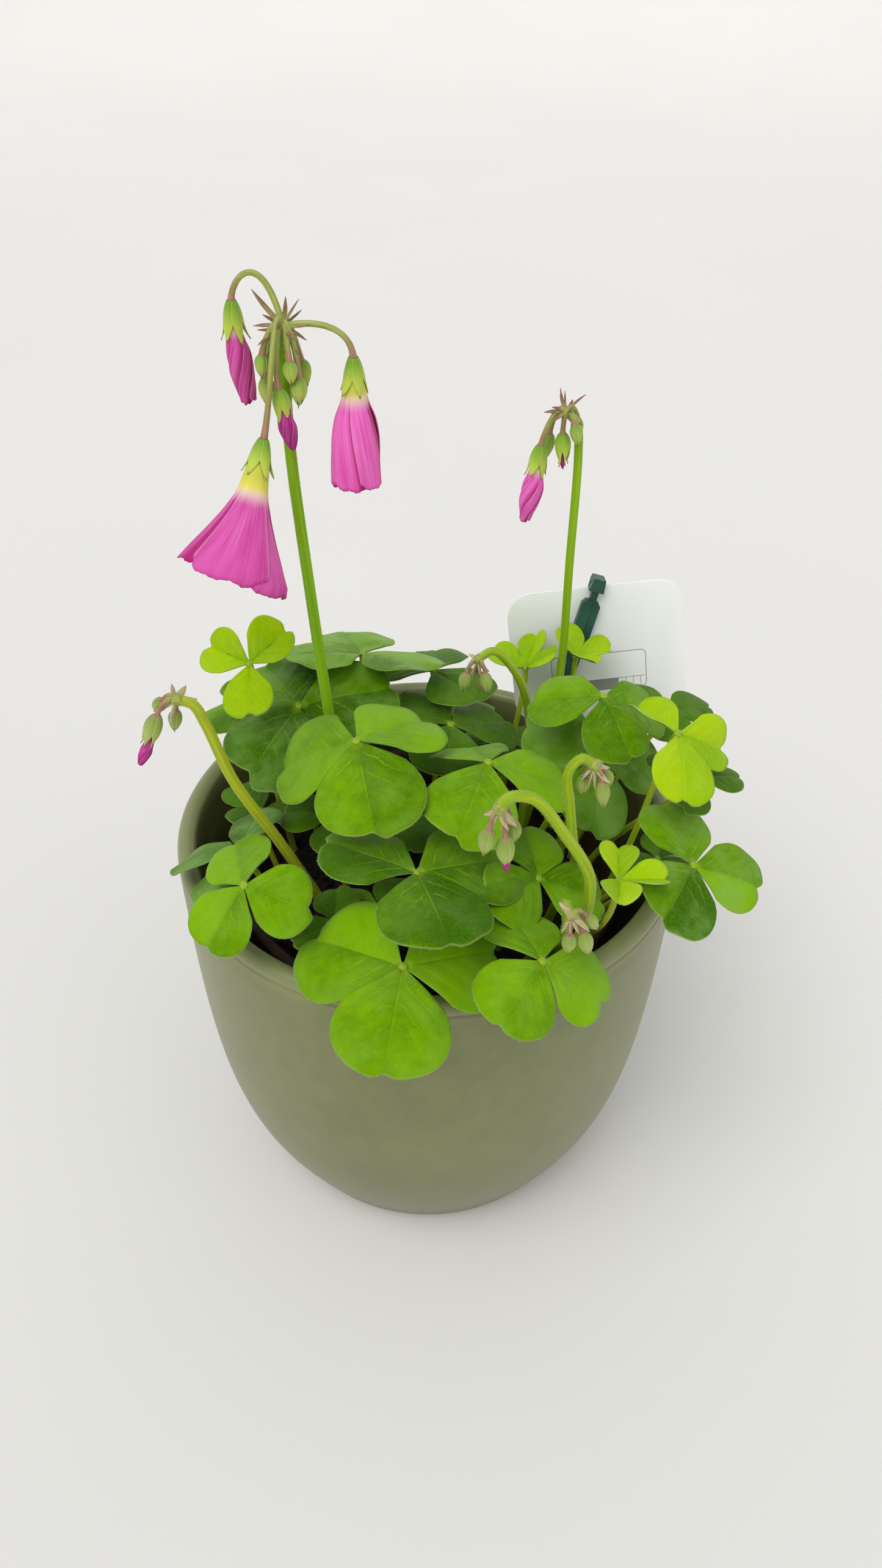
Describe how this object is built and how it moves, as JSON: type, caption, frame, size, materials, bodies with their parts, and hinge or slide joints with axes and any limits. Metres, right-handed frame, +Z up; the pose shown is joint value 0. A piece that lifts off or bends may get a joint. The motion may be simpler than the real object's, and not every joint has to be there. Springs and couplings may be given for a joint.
{
  "type": "purple-flowered shamrock in a pot",
  "caption": "Potted shamrock (Oxalis) with three-part green leaves, nodding pink-purple flowers and a blank plant label, in a sage green glazed cover pot.",
  "frame": {"origin": "middle of the cover pot's foot, on the surface it stands on", "axes": "+Z up; -Y is the front, the side the picture was taken from, with the label behind the leaves; +X to the right seen from the front"},
  "size_m": [0.1581, 0.1729, 0.274],
  "materials": {
    "glaze": "sage green satin glaze",
    "terracotta_plastic": "brown thin plastic",
    "peat": "dark moist potting soil",
    "white_plastic": "white, smooth",
    "green_plastic": "dark green moulded plastic",
    "mature_leaf": "living leaf, soft sheen and fine hairs",
    "young_leaf": "young yellow-green leaf",
    "shade_leaf": "older leaf low in the plant",
    "stem_green": "green stalks, calyxes and buds",
    "petal_pink": "pink-purple petals",
    "bud_pink": "deep pink-purple bud tips"
  },
  "bodies": {
    "root": {"cover_pot": "glaze", "nursery_pot": "terracotta_plastic", "leaf_front_low": "mature_leaf", "leaf_front_right": "mature_leaf", "leaf_front_mid": "mature_leaf", "leaf_left_rim": "mature_leaf", "leaf_left_under": "shade_leaf", "leaf_centre_left": "mature_leaf", "leaf_centre": "mature_leaf", "leaf_right_mid": "mature_leaf", "leaf_right_rim": "mature_leaf", "leaf_right_young": "young_leaf", "leaf_right_bright": "young_leaf", "leaf_right_top": "mature_leaf", "leaf_right_dark": "shade_leaf", "leaf_left_young": "young_leaf", "leaf_left_back": "mature_leaf", "leaf_back_left": "mature_leaf", "leaf_back_mid": "shade_leaf", "leaf_middle": "shade_leaf", "leaf_back_young": "young_leaf", "leaf_behind_mid": "shade_leaf", "leaf_card_young": "young_leaf", "leaf_low_left": "shade_leaf", "leaf_under_left": "shade_leaf", "leaf_under_front": "shade_leaf", "leaf_rim_front": "shade_leaf", "leaf_under_centre": "shade_leaf", "leaf_under_right": "shade_leaf", "leaf_low_right": "shade_leaf", "leaf_behind_right": "shade_leaf", "leaf_far_left": "mature_leaf", "leaf_back_low_left": "shade_leaf", "leaf_back_low_mid": "shade_leaf", "leaf_back_low_right": "shade_leaf", "scape_main": "stem_green", "scape_right": "stem_green", "scape_left": "stem_green", "scape_back": "stem_green", "scape_centre": "stem_green", "scape_hook": "stem_green", "scape_front": "stem_green", "corolla_open": "petal_pink", "corolla_right": "petal_pink", "corolla_left": "petal_pink", "corolla_centre": "bud_pink", "corolla_pink_bud": "petal_pink", "corolla_left_tip": "bud_pink", "label_card": "white_plastic", "label_stake": "green_plastic", "soil": "peat"}
  },
  "joints": []
}
